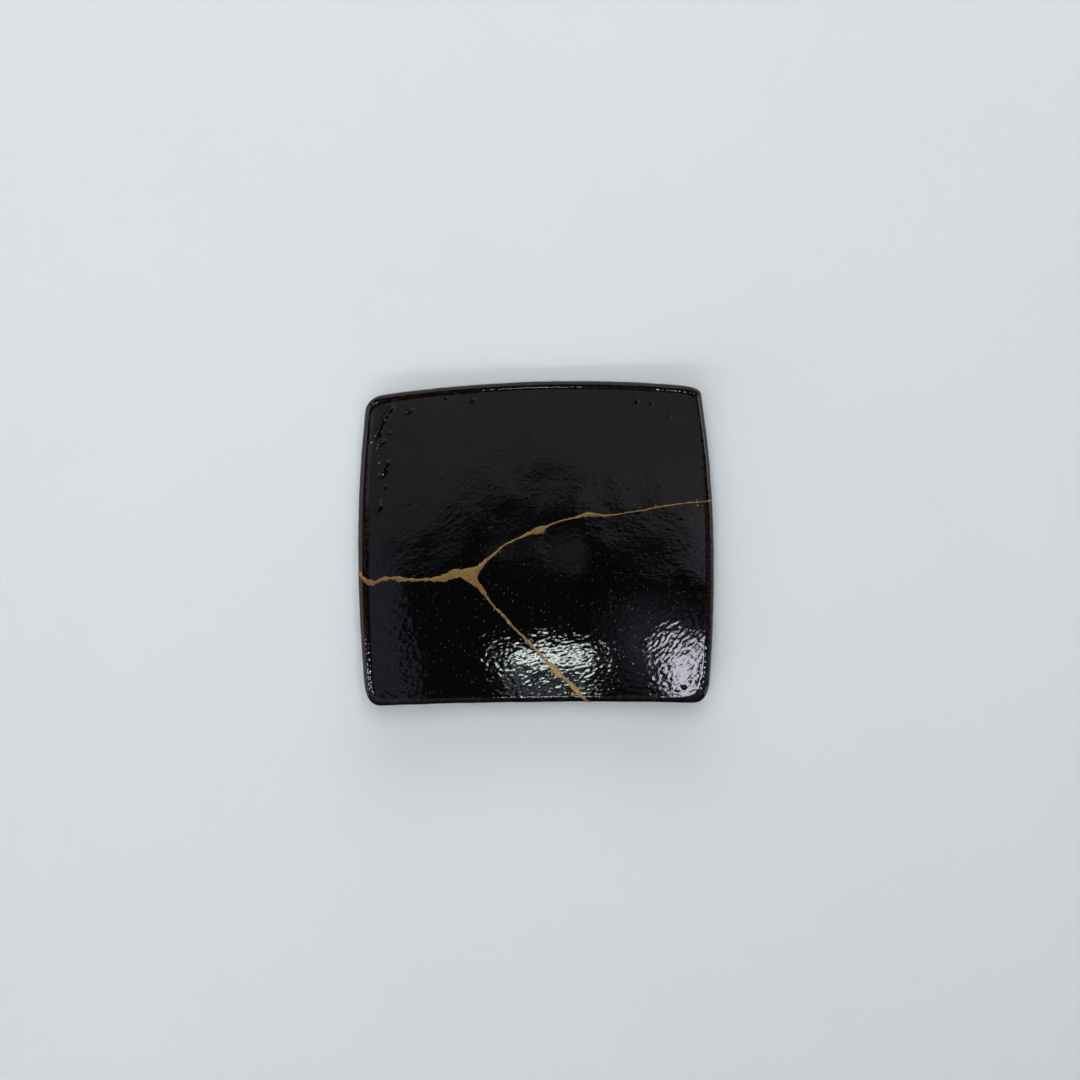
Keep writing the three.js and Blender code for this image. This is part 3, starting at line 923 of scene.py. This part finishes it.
def panel(name, corners, z, strength, colour, soft=0.1, patchy=None):
    """A glowing card overhead, given by its corners in plan; patchy is how finely its light breaks up."""
    ob = plane(name, [(x, y, z) for x, y in corners])
    uv = ob.data.uv_layers.new(name="card")
    for i, q in enumerate([(0, 0), (0, 1), (1, 1), (0, 0), (1, 1), (1, 0)]):
        uv.data[i].uv = q
    mat = bpy.data.materials.new(name)
    n = Nodes(mat)
    tc = n.add("ShaderNodeTexCoord")
    sep = n.add("ShaderNodeSeparateXYZ")
    n.link(tc.outputs["UV"], sep.inputs[0])
    glow = None
    for k in (0, 1):
        away = n.math("ABSOLUTE", n.math("SUBTRACT", sep.outputs[k], 0.5))
        g = n.ramp(away, 0.5, 0.5 - max(soft, 0.01) / 2)
        glow = g if glow is None else n.math("MULTIPLY", glow, g)
    if patchy:
        tex = n.noise(n.coords(1.0), patchy, 2, 0.5)
        glow = n.math("MULTIPLY", glow, n.ramp(tex, 0.40, 0.60, 0.10, 1.0))
    em = n.add("ShaderNodeEmission")
    em.inputs["Color"].default_value = (*colour, 1)
    n.link(n.math("MULTIPLY", glow, strength), em.inputs["Strength"])
    out = n.add("ShaderNodeOutputMaterial")
    n.link(em.outputs[0], out.inputs["Surface"])
    ob.data.materials.append(mat)
    ob.visible_camera = False
    ob.visible_shadow = False
    return ob


floor()
panel("light_over", [(62, -41), (-126, -45), (-126, -10), (62, -5)], 900, 20.5, (0.93, 1.02, 0.98), 0.05)
panel("light_over_dim", [(36, 22), (-122, 18), (-122, 82), (36, 86)], 902, 1.5, (0.86, 0.95, 1.18), 0.04, patchy=20.0)
panel("light_over_edge", [(42, -70), (38, -70), (38, 84), (42, 84)], 903, 5.0, (0.9, 1.0, 1.1), 0.05)
panel("light_side", [(-314, -100), (-440, -130), (-440, 42), (-336, 54)], 904, 12.5, (0.97, 0.95, 1.08), 0.12)
panel("card_haze", [(-270, -90), (-400, -270), (-450, -230), (-330, -40)], 908, 0.52, (0.95, 0.95, 1.4), 0.9)
panel("card_haze_wide", [(-90, -280), (-470, -340), (-470, 90), (-90, 130)], 909, 0.34, (1.0, 0.97, 1.3), 1.0)
panel("card_blue", [(395, -430), (640, -430), (640, 90), (266, 70)], 910, 0.28, (0.92, 1.0, 1.5), 0.05)
panel("card_dim", [(135, -396), (-145, -394), (-143, -272), (133, -274)], 912, 0.42, (0.95, 0.95, 1.12), 0.7, patchy=26.0)
panel("card_right", [(-436, -760), (-560, -760), (-560, -260), (-415, -260)], 914, 0.5, (1.0, 1.0, 1.7), 0.3)
panel("card_left", [(-290, -620), (-1100, -620), (-1100, 60), (-290, 60)], 480, 1.25, (1.0, 0.95, 0.92), 0.5)

# soft light for the floor and the gold: from overhead and the far side, so the shadow falls to the near side
soft_white = (0.97, 0.985, 1.0)
glow = [panel("light_soft", [(-2800, -2800), (2800, -2800), (2800, 2800), (-2800, 2800)], 4000, 0.6, soft_white, 0.5)]
glow.append(panel("light_key", [(-800, 700), (800, 700), (800, 3300), (-800, 3300)], 3000, 9.4, soft_white, 0.3))
glow.append(panel("light_far", [(-1240, 2000), (1240, 2000), (1240, 2000), (-1240, 2000)], 300, 5.0, soft_white, 0.4))
for k in (2, 3):
    glow[2].data.vertices[k].co.z = 1.4
for ob in glow:
    ob.visible_glossy = False

# soft boxes all round at mid height, for the gloss from the other sides
for k, turn in enumerate((35, 145, 215, 325)):
    a = math.radians(turn)
    mid, side = np.array([math.cos(a), math.sin(a)]) * 1000, np.array([-math.sin(a), math.cos(a)]) * 210
    box = panel(f"soft_box_{k}", [mid - side, mid + side, mid + side, mid - side], 430, 2.6, soft_white, 0.25)
    for i in (2, 3):
        box.data.vertices[i].co.z = 0.8
    box.visible_diffuse = False

# a bright board along the near side, for the grey sheen on the far half of the dish
span = np.sinh(np.linspace(-4.4, 4.4, 81)) * 1.5
crown = 114.5 + 18.0 * (1 - np.exp(-np.abs(span) / 3.3))
foot_row = np.column_stack([span, 0 * span - 56, 0 * span])
top_row = np.column_stack([span, 0 * span - 56, crown])
at = np.arange(80)
board = new_object("board", np.vstack([foot_row, top_row]), np.vstack([
    np.column_stack([at, at + 1, at + 82]), np.column_stack([at, at + 82, at + 81])]))
bm = bpy.data.materials.new("board")
nb = Nodes(bm)
be = nb.add("ShaderNodeEmission")
be.inputs["Color"].default_value = (1.0, 0.965, 1.10, 1)
bz = nb.add("ShaderNodeSeparateXYZ")
nb.link(nb.coords(1000.0), bz.inputs[0])
nb.link(nb.math("MULTIPLY", nb.ramp(bz.outputs[2], 12.0, 58.0, 0.03, 0.33), nb.math("ADD", nb.ramp(bz.outputs[0], 9.0, -12.0, 0.86, 1.22), nb.ramp(bz.outputs[0], -11.0, -15.0, 0.0, 0.5))), be.inputs["Strength"])
bo = nb.add("ShaderNodeOutputMaterial")
nb.link(be.outputs[0], bo.inputs["Surface"])
board.data.materials.append(bm)
board.visible_camera = board.visible_shadow = board.visible_diffuse = False

world = bpy.data.worlds.new("studio")
bpy.context.scene.world = world
nw = Nodes(world)
tc = nw.add("ShaderNodeTexCoord")
sep = nw.add("ShaderNodeSeparateXYZ")
nw.link(tc.outputs["Generated"], sep.inputs[0])
low = nw.ramp(sep.outputs[2], 0.74, 0.42)
bg = nw.add("ShaderNodeBackground")
nw.link(nw.mix(low, (0.02, 0.021, 0.024, 1), (0.78, 0.82, 0.88, 1)), bg.inputs["Color"])
bg.inputs["Strength"].default_value = 1.0
world.cycles_visibility.diffuse = False
wo = nw.add("ShaderNodeOutputWorld")
nw.link(bg.outputs[0], wo.inputs["Surface"])

TILT, DIST = math.radians(23.0), 1300.0
AIM = Vector((1.32, 1.50, 11.81))
back = Vector((0, math.sin(TILT), math.cos(TILT)))
cam = bpy.data.objects.new("camera", bpy.data.cameras.new("camera"))
bpy.context.scene.collection.objects.link(cam)
eye = (AIM + back * DIST) * MM
cam.matrix_world = Matrix((
    (1, 0, 0, eye.x),
    (0, math.cos(TILT), math.sin(TILT), eye.y),
    (0, -math.sin(TILT), math.cos(TILT), eye.z),
    (0, 0, 0, 1)))
cam.data.sensor_width = 36.0
cam.data.lens = 36.0 * (354.5 / 110 * DIST) / 1080
cam.data.clip_start, cam.data.clip_end = 0.01, 20.0
bpy.context.scene.camera = cam
bpy.context.scene.view_settings.view_transform = "Standard"
